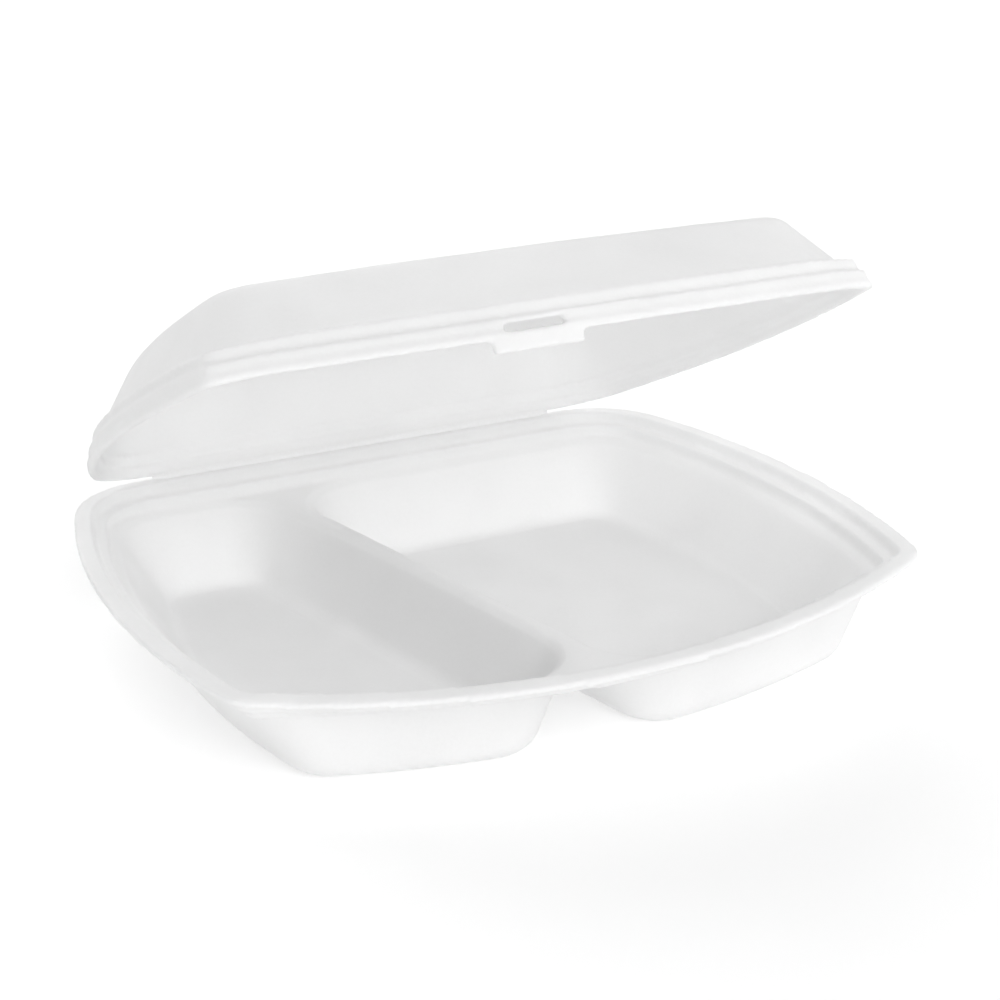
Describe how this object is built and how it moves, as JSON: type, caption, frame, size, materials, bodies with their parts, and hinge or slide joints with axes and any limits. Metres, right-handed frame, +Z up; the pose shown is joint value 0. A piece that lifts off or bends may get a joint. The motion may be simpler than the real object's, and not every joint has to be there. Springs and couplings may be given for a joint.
{
  "type": "foam clamshell container",
  "caption": "Foam food box with a hinged lid, a stepped rim and a slanted divider between its compartments.",
  "frame": {"origin": "on the table below the middle of the tray's rim", "axes": "+X to the right seen from the front, the front faces -Y, +Z up"},
  "size_m": [0.2402, 0.1965, 0.1314],
  "materials": {
    "foam": "satin white expanded foam"
  },
  "bodies": {
    "tray": {"tray": "foam"},
    "lid": {"lid": "foam"}
  },
  "joints": [
    {"name": "lid_hinge", "type": "hinge", "parent": "tray", "child": "lid", "pos_m": [0, 0.0975, 0.03315], "axis": [-1, 0, 0], "range_deg": [-28, 150]}
  ]
}
